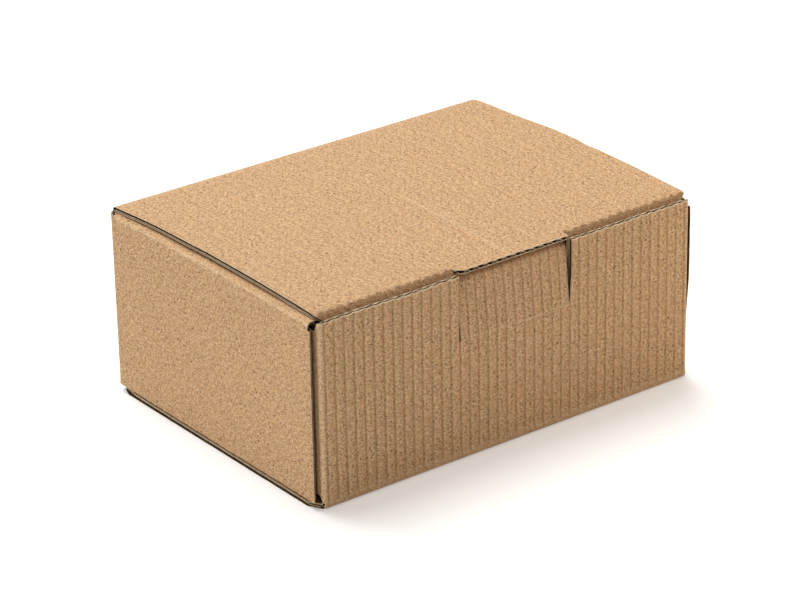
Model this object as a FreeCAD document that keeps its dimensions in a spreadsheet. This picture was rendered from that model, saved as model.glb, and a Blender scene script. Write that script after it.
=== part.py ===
import FreeCAD, Part
import math
import os
import Sketcher

# A closed mailing box die cut from one sheet of single wall corrugated board and folded up.
# Frame: millimetres, +Z up, origin under the middle of the box, front wall towards -Y.
# The sheet runs front wall, base, back wall, lid and tuck flap along the flutes. Two ears are
# folded from the front wall and two side panels from the back wall. Each side panel is rolled
# over its ear and hangs down inside as an inner flap. The lock tab is cut from the front wall
# by two slits and reaches through the slot under the lid's lip.

# Driving sizes, one spreadsheet cell each
SIZES = {
    # the whole box
    "front_width": 256.0,       # over the two ears
    "box_depth": 196.0,         # front face to back face
    "box_height": 113.0,        # floor to the lid's two folds
    # the board
    "board": 3.0,               # thickness
    "liner": 0.5,               # outer paper
    "medium": 0.45,             # wavy paper
    "flute_pitch": 6.4,
    "flute_count": 40,
    "flute_depth": 9.0,         # how far a flute is open behind a cut edge
    "ridge_depth": 0.22,        # washboard on the front
    "ridge_width": 1.3,
    "edge_depth": 1.2,          # how far the hollows show along a side edge
    "layer_gap": 0.3,           # between two layers of board
    # folds, outer radius
    "wall_fold": 4.5,
    "hinge_fold": 5.0,
    "lid_fold": 6.0,
    # front wall and ears
    "front_drop": 2.6,          # front wall's cut edge below the lid's top
    "ear_length": 72.0,
    "ear_foot": 6.0,            # slanted relief at the foot of an ear
    "ear_slant": 3.2,           # slanted relief of an ear's top, before the roll
    "roll_start": 7.0,          # front end of the roll, behind the front face
    # side panels
    "side_setback": 5.0,        # front edge behind the front face
    "side_foot": 1.2,           # gap between the panel's foot and the base
    "roll_relief": 5.0,         # back end of the roll, before the back face
    "flap_start": 16.0,         # inner flap's front edge behind the front face
    "flap_foot": 2.0,           # gap between the inner flap's foot and the base
    # base
    "base_corner": 5.0,
    # lid
    "lid_width": 247.6,
    "lid_offset": 0.6,          # lid's middle right of the box's middle
    "lid_crown": 2.6,           # how far the lid bulges up between its folds
    "lip_setback": 2.0,         # lip's edge behind the front face
    # tuck flap
    "tuck_length": 40.0,
    "tuck_lean": 11.0,          # degrees
    "tuck_width": 236.0,
    "tuck_taper": 8.0,          # chamfer of its lower corners
    "window_foot": 18.0,        # window's foot below the lid's top
    # lock tab
    "tab_width": 76.0,
    "tab_offset": 3.2,          # tab's middle right of the box's middle
    "tab_drop": 41.0,           # crease below the lid's top
    "tab_lean": 5.5,            # degrees
    "tab_rise": 33.2,           # crease to tip fold
    "tab_fold": 4.0,
    "tip_slope": 20.0,          # degrees
    "tip_length": 5.0,
    "slit_gap": 0.4,
    "crease_gap": 0.1,
    "window_gap": 0.5,          # slot and window beside the tab
}

PAST = 1.0                      # how far a cut reaches past the board
WAVE_SLANT = 1.6                # the slanted medium's width in its own thicknesses
RIGHT_ANGLE = 90.0

X_AXIS = FreeCAD.Vector(1, 0, 0)
SHEET = "Sizes"


class Size:
    """A length or an angle held as its number and as the spreadsheet expression that gives it."""

    def __init__(self, number, text):
        self.number = number
        self.text = text

    def __add__(self, other):
        other = as_size(other)
        return Size(self.number + other.number, f"({self.text} + {other.text})")

    def __sub__(self, other):
        other = as_size(other)
        return Size(self.number - other.number, f"({self.text} - {other.text})")

    def __mul__(self, other):
        other = as_size(other)
        return Size(self.number * other.number, f"({self.text} * {other.text})")

    def __truediv__(self, other):
        other = as_size(other)
        return Size(self.number / other.number, f"({self.text} / {other.text})")

    def __neg__(self):
        return Size(-self.number, f"(-1 * {self.text})")


def as_size(value):
    """Wrap a plain number as a size."""
    if isinstance(value, Size):
        return value
    return Size(float(value), f"{float(value)}")


def size(alias):
    """Give the size that a spreadsheet cell holds."""
    return Size(float(SIZES[alias]), f"{SHEET}.{alias}")


def sine(angle):
    return Size(math.sin(math.radians(angle.number)), f"sin({angle.text})")


def cosine(angle):
    return Size(math.cos(math.radians(angle.number)), f"cos({angle.text})")


def whole(value):
    """Round a size down to a whole number."""
    return Size(float(math.floor(value.number)), f"floor({value.text})")


def make_sheet(doc):
    """Write every driving size to the spreadsheet as a plain number with an alias."""
    sheet = doc.addObject("Spreadsheet::Sheet", SHEET)
    for row, (alias, number) in enumerate(SIZES.items(), start=1):
        sheet.set(f"A{row}", alias.replace("_", " "))
        sheet.set(f"B{row}", str(number))
        sheet.setAlias(f"B{row}", alias)
    doc.recompute()
    return sheet


class Arc:
    """The outline turns round this centre to the next corner."""

    def __init__(self, centre, radius, turn):
        self.centre = centre
        self.radius = as_size(radius)
        self.turn = turn        # +1 anticlockwise, -1 clockwise


def plane_sketch(body, name, role, offset=0.0):
    """Put an empty sketch on one of the body's own origin planes, moved along its normal."""
    plane = [item for item in body.Origin.OriginFeatures if item.Role == role][0]
    sketch = body.newObject("Sketcher::SketchObject", name)
    sketch.AttachmentSupport = [(plane, "")]
    sketch.MapMode = "FlatFace"
    offset = as_size(offset)
    base = FreeCAD.Vector(0, 0, offset.number)
    sketch.AttachmentOffset = FreeCAD.Placement(base, FreeCAD.Rotation())
    sketch.setExpression("AttachmentOffset.Base.z", offset.text)
    return sketch


def leaning_sketch(body, name, point, lean):
    """Put an empty sketch on the floor plane, moved to a point and leant back about X."""
    sketch = plane_sketch(body, name, "XY_Plane", point[1])
    base = FreeCAD.Vector(0, point[0].number, point[1].number)
    turn = FreeCAD.Rotation(-X_AXIS, lean.number)
    sketch.AttachmentOffset = FreeCAD.Placement(base, turn)
    sketch.setExpression("AttachmentOffset.Base.y", point[0].text)
    sketch.setExpression("AttachmentOffset.Rotation.Angle", lean.text)
    return sketch


def pin_point(sketch, geometry, end, corner):
    """Fix one end of a line or arc to the sketch's axes by the two sizes of the corner."""
    for kind, value in (("DistanceX", corner[0]), ("DistanceY", corner[1])):
        value = as_size(value)
        index = sketch.addConstraint(
            Sketcher.Constraint(kind, -1, 1, geometry, end, value.number))
        sketch.setExpression(f"Constraints[{index}]", value.text)


def pin_centre(sketch, geometry, arc, start, finish):
    """Fix an arc whose two ends are fixed, by the coordinate that moves its centre most."""
    run_x = abs((as_size(finish[0]) - as_size(start[0])).number)
    run_y = abs((as_size(finish[1]) - as_size(start[1])).number)
    axis = 0 if run_y > run_x else 1
    kind = ("DistanceX", "DistanceY")[axis]
    value = as_size(arc.centre[axis])
    index = sketch.addConstraint(Sketcher.Constraint(kind, -1, 1, geometry, 3, value.number))
    sketch.setExpression(f"Constraints[{index}]", value.text)


def outline(sketch, steps):
    """Draw a closed outline from corners, with an Arc between two corners where it is round."""
    corners = [step for step in steps if not isinstance(step, Arc)]
    arcs = {}
    count = 0
    for step in steps:
        if isinstance(step, Arc):
            arcs[count - 1] = step
        else:
            count += 1
    pieces = []
    for index, corner in enumerate(corners):
        following = corners[(index + 1) % len(corners)]
        start = FreeCAD.Vector(as_size(corner[0]).number, as_size(corner[1]).number, 0)
        finish = FreeCAD.Vector(as_size(following[0]).number, as_size(following[1]).number, 0)
        if index in arcs:
            pieces.append(add_arc(sketch, start, finish, arcs[index]))
        else:
            pieces.append((sketch.addGeometry(Part.LineSegment(start, finish)), 1, 2))
    for index, (geometry, first, last) in enumerate(pieces):
        following = pieces[(index + 1) % len(pieces)]
        sketch.addConstraint(
            Sketcher.Constraint("Coincident", geometry, last, following[0], following[1]))
        pin_point(sketch, geometry, first, corners[index])
    for index, arc in arcs.items():
        following = corners[(index + 1) % len(corners)]
        pin_centre(sketch, pieces[index][0], arc, corners[index], following)


def add_arc(sketch, start, finish, arc):
    """Add an arc from start to finish and give its number with the ends that match them."""
    centre = FreeCAD.Vector(as_size(arc.centre[0]).number, as_size(arc.centre[1]).number, 0)
    first, last = (start, finish) if arc.turn > 0 else (finish, start)
    low = math.atan2(first.y - centre.y, first.x - centre.x)
    high = math.atan2(last.y - centre.y, last.x - centre.x)
    if high <= low:
        high += 2 * math.pi
    circle = Part.Circle(centre, FreeCAD.Vector(0, 0, 1), arc.radius.number)
    number = sketch.addGeometry(Part.ArcOfCircle(circle, low, high))
    return (number, 1, 2) if arc.turn > 0 else (number, 2, 1)


def box_outline(low_x, low_y, high_x, high_y):
    """Give the four corners of a rectangle."""
    return [(low_x, low_y), (high_x, low_y), (high_x, high_y), (low_x, high_y)]


def pad(body, name, sketch, length, symmetric=False):
    """Grow a sketch into solid, along its normal or to both sides."""
    feature = body.newObject("PartDesign::Pad", name)
    feature.Profile = sketch
    length = as_size(length)
    feature.Length = length.number
    feature.setExpression("Length", length.text)
    feature.Midplane = symmetric
    feature.Refine = True
    body.Document.recompute()
    return feature


def pocket(body, name, sketch, length, symmetric=False):
    """Cut a sketch into the solid against its normal and make sure that something was cut."""
    before = body.Shape.Volume
    feature = body.newObject("PartDesign::Pocket", name)
    feature.Profile = sketch
    length = as_size(length)
    feature.Length = length.number
    feature.setExpression("Length", length.text)
    feature.Midplane = symmetric
    feature.Refine = False
    body.Document.recompute()
    if body.Shape.Volume >= before:
        raise RuntimeError(f"{name} cuts nothing")
    return feature


def repeat_along_x(body, name, feature, pitch, count):
    """Repeat a pocket along the box's width, once for each flute."""
    before = body.Shape.Volume
    pattern = body.newObject("PartDesign::LinearPattern", name)
    pattern.Originals = [feature]
    axis = [item for item in body.Origin.OriginFeatures if item.Role == "X_Axis"][0]
    pattern.Direction = (axis, [""])
    extent = as_size(pitch) * (as_size(count) - 1)
    pattern.Length = extent.number
    pattern.Occurrences = int(round(as_size(count).number))
    pattern.setExpression("Length", extent.text)
    pattern.setExpression("Occurrences", as_size(count).text)
    pattern.Refine = False
    body.Tip = pattern
    body.Document.recompute()
    if body.Shape.Volume >= before:
        raise RuntimeError(f"{name} repeats nothing")
    return pattern


# Planes and places worked out from the driving sizes
BOARD = size("board")
GAP = size("layer_gap")
FRONT = -size("box_depth") / 2
BACK = size("box_depth") / 2
TOP = size("box_height")
LID_UNDER = TOP - BOARD
WALL_TOP = TOP - size("front_drop")
EAR_OUT = size("front_width") / 2
EAR_IN = EAR_OUT - BOARD
SIDE_IN = EAR_OUT + GAP
SIDE_OUT = SIDE_IN + BOARD
FLAP_OUT = EAR_IN - GAP
FLAP_IN = FLAP_OUT - BOARD
ROLL = (SIDE_OUT - FLAP_IN) / 2
ROLL_X = FLAP_IN + ROLL
ROLL_Z = LID_UNDER - GAP - ROLL
FOLD = size("wall_fold")
FOLD_IN = FOLD - BOARD
HINGE = size("hinge_fold")
HINGE_IN = HINGE - BOARD
LID_FOLD = size("lid_fold")
LID_FOLD_IN = LID_FOLD - BOARD
TUCK = FRONT + BOARD + GAP
TUCK_TURN = TUCK + LID_FOLD
TAB_LEFT = size("tab_offset") - size("tab_width") / 2
TAB_RIGHT = size("tab_offset") + size("tab_width") / 2
CREASE = size("box_height") - size("tab_drop")
WINDOW_FOOT = TOP - size("window_foot")
PITCH = size("flute_pitch")
FLUTES = size("flute_count")
FIRST_FLUTE = -PITCH * (FLUTES - 1) / 2
FIRST_TAB_FLUTE = FIRST_FLUTE + PITCH * (whole((TAB_LEFT - FIRST_FLUTE) / PITCH) + 1)
TAB_FLUTES = whole((TAB_RIGHT - FIRST_TAB_FLUTE) / PITCH)
SKIN = size("liner")
HOLLOW = (BOARD - SKIN * 2 - size("medium")) / 2
EDGE_DEPTH = size("edge_depth")


def flute_pair(sketch, middle, low, high):
    """Draw the two open triangles that one wave of the medium leaves between the liners."""
    half = PITCH / 2
    skin = SKIN
    wave = size("medium")
    lean = wave * WAVE_SLANT
    outline(sketch, [
        (middle - half + lean, low + skin),
        (middle + half - lean, low + skin),
        (middle, high - skin - wave),
    ])
    outline(sketch, [
        (middle + half, low + skin + wave),
        (middle + PITCH - lean, high - skin),
        (middle + lean, high - skin),
    ])


def wall_plan(sketch, outer, inner, face, inner_face, turn, side, far):
    """Draw a wall with its two side layers, folded round at the corners, seen from above."""
    fold_in = FOLD_IN
    outline(sketch, [
        (-outer, far),
        (-outer, face + FOLD * side),
        Arc((-outer + FOLD, face + FOLD * side), FOLD, turn),
        (-outer + FOLD, face),
        (outer - FOLD, face),
        Arc((outer - FOLD, face + FOLD * side), FOLD, turn),
        (outer, face + FOLD * side),
        (outer, far),
        (inner, far),
        (inner, inner_face + fold_in * side),
        Arc((inner - fold_in, inner_face + fold_in * side), fold_in, -turn),
        (inner - fold_in, inner_face),
        (-inner + fold_in, inner_face),
        Arc((-inner + fold_in, inner_face + fold_in * side), fold_in, -turn),
        (-inner, inner_face + fold_in * side),
        (-inner, far),
    ])


def front_wall(body):
    """Front wall with its washboard, open flutes, ears and slanted reliefs."""
    plan = plane_sketch(body, "front_wall_plan", "XY_Plane", FOLD)
    wall_plan(plan, EAR_OUT, EAR_IN, FRONT, FRONT + BOARD, 1, 1, FRONT + size("ear_length"))
    pad(body, "front_wall", plan, WALL_TOP - FOLD)

    ridge = plane_sketch(body, "ridge_section", "XY_Plane", WALL_TOP + PAST)
    half = size("ridge_width") / 2
    outline(ridge, [
        (FIRST_FLUTE - half, FRONT - half),
        (FIRST_FLUTE + half, FRONT - half),
        (FIRST_FLUTE, FRONT + size("ridge_depth")),
    ])
    groove = pocket(body, "front_ridge", ridge, WALL_TOP + PAST - FOLD)
    repeat_along_x(body, "front_ridges", groove, PITCH, FLUTES)

    flutes = plane_sketch(body, "flute_section", "XY_Plane", WALL_TOP)
    flute_pair(flutes, FIRST_FLUTE, FRONT, FRONT + BOARD)
    open_flute = pocket(body, "front_flute", flutes, size("flute_depth"))
    repeat_along_x(body, "front_flutes", open_flute, PITCH, FLUTES - 1)

    ear_top = plane_sketch(body, "ear_top_cut", "YZ_Plane")
    start = FRONT + size("roll_start") - size("ear_slant")
    outline(ear_top, [
        (start, WALL_TOP + PAST),
        (start + (WALL_TOP - ROLL_Z) / 2, ROLL_Z),
        (FRONT + size("ear_length") + PAST, ROLL_Z),
        (FRONT + size("ear_length") + PAST, WALL_TOP + PAST),
    ])
    pocket(body, "ear_top", ear_top, (EAR_OUT + PAST) * 2, symmetric=True)

    ear_foot = plane_sketch(body, "ear_foot_cut", "YZ_Plane")
    outline(ear_foot, [
        (FRONT + FOLD / 2, FOLD - PAST),
        (FRONT + FOLD / 2, FOLD),
        (FRONT + FOLD / 2 + size("ear_foot"), FOLD + size("ear_foot")),
        (FRONT + size("ear_length") + PAST, FOLD + size("ear_foot")),
        (FRONT + size("ear_length") + PAST, FOLD - PAST),
    ])
    pocket(body, "ear_foot", ear_foot, (EAR_OUT + PAST) * 2, symmetric=True)

    opening = plane_sketch(body, "tab_opening_cut", "XZ_Plane", -FRONT + PAST)
    gap = size("slit_gap")
    outline(opening, box_outline(TAB_LEFT - gap, CREASE, TAB_RIGHT + gap, WALL_TOP + PAST))
    pocket(body, "tab_opening", opening, BOARD + PAST + FOLD_IN)


def base_and_back(body):
    """Base with the fold to the front wall, and the fold to the back wall with that wall."""
    section = plane_sketch(body, "base_section", "YZ_Plane")
    outline(section, [
        (FRONT, FOLD),
        Arc((FRONT + FOLD, FOLD), FOLD, 1),
        (FRONT + FOLD, 0),
        (BACK - FOLD, 0),
        Arc((BACK - FOLD, FOLD), FOLD, 1),
        (BACK, FOLD),
        (BACK, TOP - HINGE),
        (BACK - BOARD, TOP - HINGE),
        (BACK - BOARD, FOLD),
        Arc((BACK - FOLD, FOLD), FOLD_IN, -1),
        (BACK - FOLD, BOARD),
        (FRONT + FOLD, BOARD),
        Arc((FRONT + FOLD, FOLD), FOLD_IN, -1),
        (FRONT + BOARD, FOLD),
    ])
    pad(body, "base", section, (EAR_OUT - FOLD) * 2, symmetric=True)

    plan = plane_sketch(body, "base_margins_plan", "XY_Plane")
    cut = size("base_corner")
    near = FRONT + FOLD
    far = BACK - FOLD
    outline(plan, [
        (-SIDE_OUT, near), (SIDE_OUT, near),
        (SIDE_OUT, far - cut), (SIDE_OUT - cut, far),
        (-SIDE_OUT + cut, far), (-SIDE_OUT, far - cut),
    ])
    pad(body, "base_margins", plan, BOARD)

    for name, place in (("right", SIDE_OUT), ("left", EDGE_DEPTH - SIDE_OUT)):
        hollows = plane_sketch(body, f"base_{name}_hollows", "YZ_Plane", place)
        for low in (SKIN, BOARD - SKIN - HOLLOW):
            outline(hollows, box_outline(near - PAST, low, far - cut, low + HOLLOW))
        pocket(body, f"base_{name}_edge", hollows, EDGE_DEPTH)


def side_panels(body):
    """Side panels folded from the back wall, rolled over the ears, with their inner flaps."""
    foot = BOARD + size("side_foot")
    plan = plane_sketch(body, "side_panel_plan", "XY_Plane", foot)
    wall_plan(plan, SIDE_OUT, SIDE_IN, BACK, BACK - BOARD, -1, -1, FRONT + size("side_setback"))
    pad(body, "side_panels", plan, ROLL_Z - foot)

    corner = plane_sketch(body, "back_corner_plan", "XY_Plane", ROLL_Z)
    wall_plan(corner, SIDE_OUT, SIDE_IN, BACK, BACK - BOARD, -1, -1, BACK - size("roll_relief") + GAP)
    pad(body, "back_corners", corner, TOP - HINGE - ROLL_Z)

    hollows = plane_sketch(body, "side_edge_hollows", "XY_Plane", ROLL_Z + PAST)
    edge = FRONT + size("side_setback")
    for side in (1, -1):
        for start in (SIDE_IN + SKIN, SIDE_OUT - SKIN - HOLLOW):
            outline(hollows, box_outline(
                start * side, edge - PAST, (start + HOLLOW) * side, edge + EDGE_DEPTH))
    pocket(body, "side_edges", hollows, ROLL_Z + PAST * 2)


def lid_and_tuck(body):
    """Lid hinged at the back, with its lip, the slot for the tab and the tuck flap inside."""
    lean = size("tuck_lean")
    turn_z = TOP - LID_FOLD
    out = (TUCK_TURN - LID_FOLD * cosine(lean), turn_z - LID_FOLD * sine(lean))
    foot = (out[0] + size("tuck_length") * sine(lean), out[1] - size("tuck_length") * cosine(lean))
    half_run = (BACK - HINGE - TUCK_TURN) / 2
    crown = size("lid_crown")
    bow = half_run * half_run / (crown * 2) + crown / 2
    middle = TUCK_TURN + half_run
    section = plane_sketch(body, "lid_section", "YZ_Plane", size("lid_offset"))
    outline(section, [
        (BACK, TOP - HINGE),
        Arc((BACK - HINGE, TOP - HINGE), HINGE, 1),
        (BACK - HINGE, TOP),
        Arc((middle, TOP + crown - bow), bow, 1),
        (TUCK_TURN, TOP),
        Arc((TUCK_TURN, turn_z), LID_FOLD, 1),
        out,
        foot,
        (foot[0] + BOARD * cosine(lean), foot[1] + BOARD * sine(lean)),
        (out[0] + BOARD * cosine(lean), out[1] + BOARD * sine(lean)),
        Arc((TUCK_TURN, turn_z), LID_FOLD_IN, -1),
        (TUCK_TURN, LID_UNDER),
        Arc((middle, LID_UNDER + crown - bow), bow, -1),
        (BACK - HINGE, LID_UNDER),
        Arc((BACK - HINGE, TOP - HINGE), HINGE_IN, -1),
        (BACK - BOARD, TOP - HINGE),
    ])
    pad(body, "lid", section, size("lid_width"), symmetric=True)

    shift = size("lid_offset")
    half_lid = size("lid_width") / 2
    for name, place in (("right", shift + half_lid), ("left", shift - half_lid + EDGE_DEPTH)):
        hollows = plane_sketch(body, f"lid_{name}_hollows", "YZ_Plane", place)
        for low in (LID_UNDER + SKIN, TOP - SKIN - HOLLOW):
            high = low + HOLLOW
            outline(hollows, [
                (TUCK_TURN, low),
                Arc((middle, low + crown - bow), bow, -1),
                (BACK - HINGE, low),
                (BACK - HINGE, high),
                Arc((middle, high + crown - bow), bow, 1),
                (TUCK_TURN, high),
            ])
        pocket(body, f"lid_{name}_edge", hollows, EDGE_DEPTH)

    slot = plane_sketch(body, "slot_cut", "XZ_Plane", -(FRONT + BOARD + GAP / 2))
    gap = size("window_gap")
    left = TAB_LEFT - gap
    right = TAB_RIGHT + gap
    outline(slot, box_outline(left, WINDOW_FOOT, right, TOP + PAST))
    pocket(body, "slot", slot, LID_FOLD + GAP)

    tuck_sides = plane_sketch(body, "tuck_side_cut", "XZ_Plane", -(FRONT + BOARD + GAP / 2))
    half_tuck = size("tuck_width") / 2
    taper = size("tuck_taper")
    low = LID_UNDER - size("tuck_length")
    for side in (1, -1):
        outline(tuck_sides, [
            (half_tuck * side - taper * side, low),
            (half_tuck * side, turn_z - taper),
            ((FLAP_IN - GAP) * side, turn_z),
            ((FLAP_IN - GAP) * side, LID_UNDER),
            ((EAR_IN - GAP / 2) * side, LID_UNDER),
            ((EAR_IN - GAP / 2) * side, low),
        ])
    pocket(body, "tuck_sides", tuck_sides, size("flap_start") - BOARD - GAP)

    lip = plane_sketch(body, "lip_plan", "XY_Plane", LID_UNDER)
    outline(lip, box_outline(left, FRONT + size("lip_setback"), right, TUCK_TURN + LID_FOLD))
    pad(body, "lip", lip, BOARD)

    ends = plane_sketch(body, "lip_flute_section", "XZ_Plane", -(FRONT + size("lip_setback")))
    flute_pair(ends, FIRST_TAB_FLUTE, LID_UNDER, TOP)
    open_flute = pocket(body, "lip_flute", ends, size("flute_depth"))
    repeat_along_x(body, "lip_flutes", open_flute, PITCH, TAB_FLUTES)


def rolls_and_flaps(body):
    """Rolls that carry the side panels over the ears, with the inner flaps that hang from them."""
    near = FRONT + size("roll_start")
    far = BACK - size("roll_relief")
    section = plane_sketch(body, "roll_section", "XZ_Plane", -far)
    low = BOARD + size("flap_foot")
    for side in (1, -1):
        outline(section, [
            (SIDE_OUT * side, ROLL_Z),
            Arc((ROLL_X * side, ROLL_Z), ROLL, side),
            (FLAP_IN * side, ROLL_Z),
            (FLAP_IN * side, low),
            (FLAP_OUT * side, low),
            (FLAP_OUT * side, ROLL_Z),
            Arc((ROLL_X * side, ROLL_Z), ROLL - BOARD, -side),
            (SIDE_IN * side, ROLL_Z),
        ])
    pad(body, "rolls", section, far - near)

    front = plane_sketch(body, "flap_front_cut", "XY_Plane", ROLL_Z)
    for side in (1, -1):
        outline(front, box_outline(
            (FLAP_IN - GAP / 2) * side, near - PAST, (FLAP_OUT + GAP / 2) * side,
            FRONT + size("flap_start")))
    pocket(body, "flap_front", front, ROLL_Z - low + PAST)


def build_box(doc):
    """Fold the whole sheet, apart from the tab."""
    body = doc.addObject("PartDesign::Body", "folded_box")
    body.Label = "folded_box"
    front_wall(body)
    base_and_back(body)
    side_panels(body)
    lid_and_tuck(body)
    rolls_and_flaps(body)
    body.Placement = FreeCAD.Placement()
    return body


def build_tab(doc):
    """Lock tab between the two slits, leaning in, with its tip bent under the lip."""
    body = doc.addObject("PartDesign::Body", "lock_tab")
    body.Label = "lock_tab"
    lean = size("tab_lean")
    slope = size("tip_slope") + RIGHT_ANGLE
    rise = size("tab_rise")
    fold = size("tab_fold")
    fold_in = fold - BOARD
    foot = CREASE + size("crease_gap")
    shoulder = (FRONT + rise * sine(lean), CREASE + rise * cosine(lean))
    centre = (shoulder[0] + fold * cosine(lean), shoulder[1] - fold * sine(lean))
    crown = (centre[0] - fold * cosine(slope), centre[1] + fold * sine(slope))
    tip = (crown[0] + size("tip_length") * sine(slope), crown[1] + size("tip_length") * cosine(slope))
    tip_under = (tip[0] + BOARD * cosine(slope), tip[1] - BOARD * sine(slope))
    crown_under = (centre[0] - fold_in * cosine(slope), centre[1] + fold_in * sine(slope))
    inner = (shoulder[0] + BOARD * cosine(lean), shoulder[1] - BOARD * sine(lean))
    tangent = sine(lean) / cosine(lean)
    section = plane_sketch(body, "tab_section", "YZ_Plane", size("tab_offset"))
    outline(section, [
        (FRONT + (foot - CREASE) * tangent, foot),
        shoulder,
        Arc(centre, fold, -1),
        crown,
        tip,
        tip_under,
        crown_under,
        Arc(centre, fold_in, 1),
        inner,
        (FRONT + (foot - CREASE) * tangent + BOARD / cosine(lean), foot),
    ])
    pad(body, "tab", section, size("tab_width"), symmetric=True)

    ridge = leaning_sketch(body, "tab_ridge_section", shoulder, lean)
    half = size("ridge_width") / 2
    outline(ridge, [
        (FIRST_TAB_FLUTE - half, -half),
        (FIRST_TAB_FLUTE + half, -half),
        (FIRST_TAB_FLUTE, size("ridge_depth")),
    ])
    groove = pocket(body, "tab_ridge", ridge, rise)
    repeat_along_x(body, "tab_ridges", groove, PITCH, TAB_FLUTES)

    ends = leaning_sketch(body, "tab_flute_section", tip, slope)
    flute_pair(ends, FIRST_TAB_FLUTE, as_size(0), BOARD)
    open_flute = pocket(body, "tab_flute", ends, size("tip_length"))
    repeat_along_x(body, "tab_flutes", open_flute, PITCH, TAB_FLUTES)
    body.Placement = FreeCAD.Placement()
    return body


def check_and_write(doc, bodies):
    """Stop on a failed object or a bad solid, then write one file for each sub-part."""
    doc.recompute()
    for item in doc.Objects:
        if "Invalid" in item.State or "Error" in item.State:
            raise RuntimeError(f"{item.Name} failed: {item.State}")
    os.makedirs("parts", exist_ok=True)
    for body in bodies:
        shape = body.Shape
        if shape.isNull() or not shape.isValid():
            raise RuntimeError(f"{body.Label} has a bad shape")
        if len(shape.Solids) != 1:
            raise RuntimeError(f"{body.Label} has {len(shape.Solids)} solids")
    for body in bodies:
        body.Shape.exportStep(f"parts/{body.Label}.step")
        print(body.Label, "volume", round(body.Shape.Volume), "mm3, faces", len(body.Shape.Faces))


def main():
    doc = FreeCAD.newDocument("mailing_box")
    make_sheet(doc)
    box = build_box(doc)
    tab = build_tab(doc)
    check_and_write(doc, [box, tab])


main()
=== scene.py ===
"""Visual model of a closed mailing box folded from one sheet of corrugated board."""

from __future__ import annotations

import logging
import math
from dataclasses import dataclass, field
from enum import Enum
from typing import Callable, Sequence

import bpy
import numpy as np
from mathutils import Matrix, Vector

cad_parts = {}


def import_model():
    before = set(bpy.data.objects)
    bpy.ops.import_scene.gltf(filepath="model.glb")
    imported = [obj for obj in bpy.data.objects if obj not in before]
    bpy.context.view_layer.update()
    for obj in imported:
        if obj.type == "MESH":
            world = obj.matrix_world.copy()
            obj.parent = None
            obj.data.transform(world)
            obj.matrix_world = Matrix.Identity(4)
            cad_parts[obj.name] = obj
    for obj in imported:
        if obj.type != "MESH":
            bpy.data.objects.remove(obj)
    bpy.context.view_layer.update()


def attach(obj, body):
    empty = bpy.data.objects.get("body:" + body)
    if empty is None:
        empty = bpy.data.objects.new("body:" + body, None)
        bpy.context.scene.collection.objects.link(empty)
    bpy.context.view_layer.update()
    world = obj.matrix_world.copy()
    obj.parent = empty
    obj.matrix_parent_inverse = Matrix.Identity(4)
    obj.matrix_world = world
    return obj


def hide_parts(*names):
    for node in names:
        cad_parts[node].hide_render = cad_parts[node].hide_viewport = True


LOG = logging.getLogger("mailing_box")

MM = 0.001
SEED = 7
TIGHT_FOLD = 1.05
SQUEEZE_REACH = 1.5
SQUEEZED_SHARE = 0.93

Places = np.ndarray
Surface = Callable[[Places, Places, Places], Places]


class Paper(Enum):
    """The papers that show, each with its own material."""

    LINER = 0
    MEDIUM = 1
    CUT = 2


@dataclass(frozen=True)
class Board:
    """Section of the corrugated board, in millimetres."""

    thickness: float = 3.0
    liner: float = 0.42
    medium: float = 0.34
    pitch: float = 6.4
    flutes: int = 40
    ridge_half_width: float = 1.2
    column_steps: tuple[float, ...] = (-0.5, -0.38, -0.24, -0.13, -0.06, 0.0, 0.06, 0.13, 0.24, 0.38)

    @property
    def first_flute(self) -> float:
        """Place of the leftmost ridge on the front wall."""
        return -self.pitch * (self.flutes - 1) / 2

    def columns(self, low: float, high: float, extra: Sequence[float] = ()) -> Places:
        """Give grid columns between two edges, closer together beside each ridge.

        Args:
            low: First edge.
            high: Last edge.
            extra: Places that also need a column, such as a slit.

        Returns:
            Sorted places across the flutes.
        """
        first = int(math.floor((low - self.first_flute) / self.pitch)) - 1
        last = int(math.ceil((high - self.first_flute) / self.pitch)) + 1
        places = [self.first_flute + (wave + step) * self.pitch
                  for wave in range(first, last + 1) for step in self.column_steps]
        return merge_places([place for place in places if low < place < high],
                            [low, high, *extra])

    def phase(self, across: Places) -> Places:
        """Give the place inside a flute, from -0.5 to 0.5 with the ridge at 0."""
        turns = (across - self.first_flute) / self.pitch
        return turns - np.round(turns)

    def sunk(self, depth: Places, sink: Places, kept: Places | float = 1.0) -> Places:
        """Sink the outer paper in and leave the inner one in its place.

        Args:
            depth: Depths below the outer face.
            sink: How far the outer paper lies below its flat place.
            kept: Share of its thickness that the board keeps.

        Returns:
            The new depths.
        """
        return depth * kept + sink * (1 - depth / self.thickness)


def merge_places(places: Sequence[float], fixed: Sequence[float], closest: float = 0.12) -> Places:
    """Join two lists of places and drop a free one that lies too near a fixed one.

    Args:
        places: Free places.
        fixed: Places that are kept.
        closest: Smallest distance left between a free and a fixed place.

    Returns:
        All places kept, in order.
    """
    kept = [place for place in places if min(abs(place - edge) for edge in fixed) > closest]
    return np.array(sorted(set(kept) | set(fixed)))


def spread(low: float, high: float, step: float) -> list[float]:
    """Give evenly spaced places from low to high, no further apart than step."""
    count = max(1, int(math.ceil((high - low) / step)))
    return list(np.linspace(low, high, count + 1))


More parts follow.
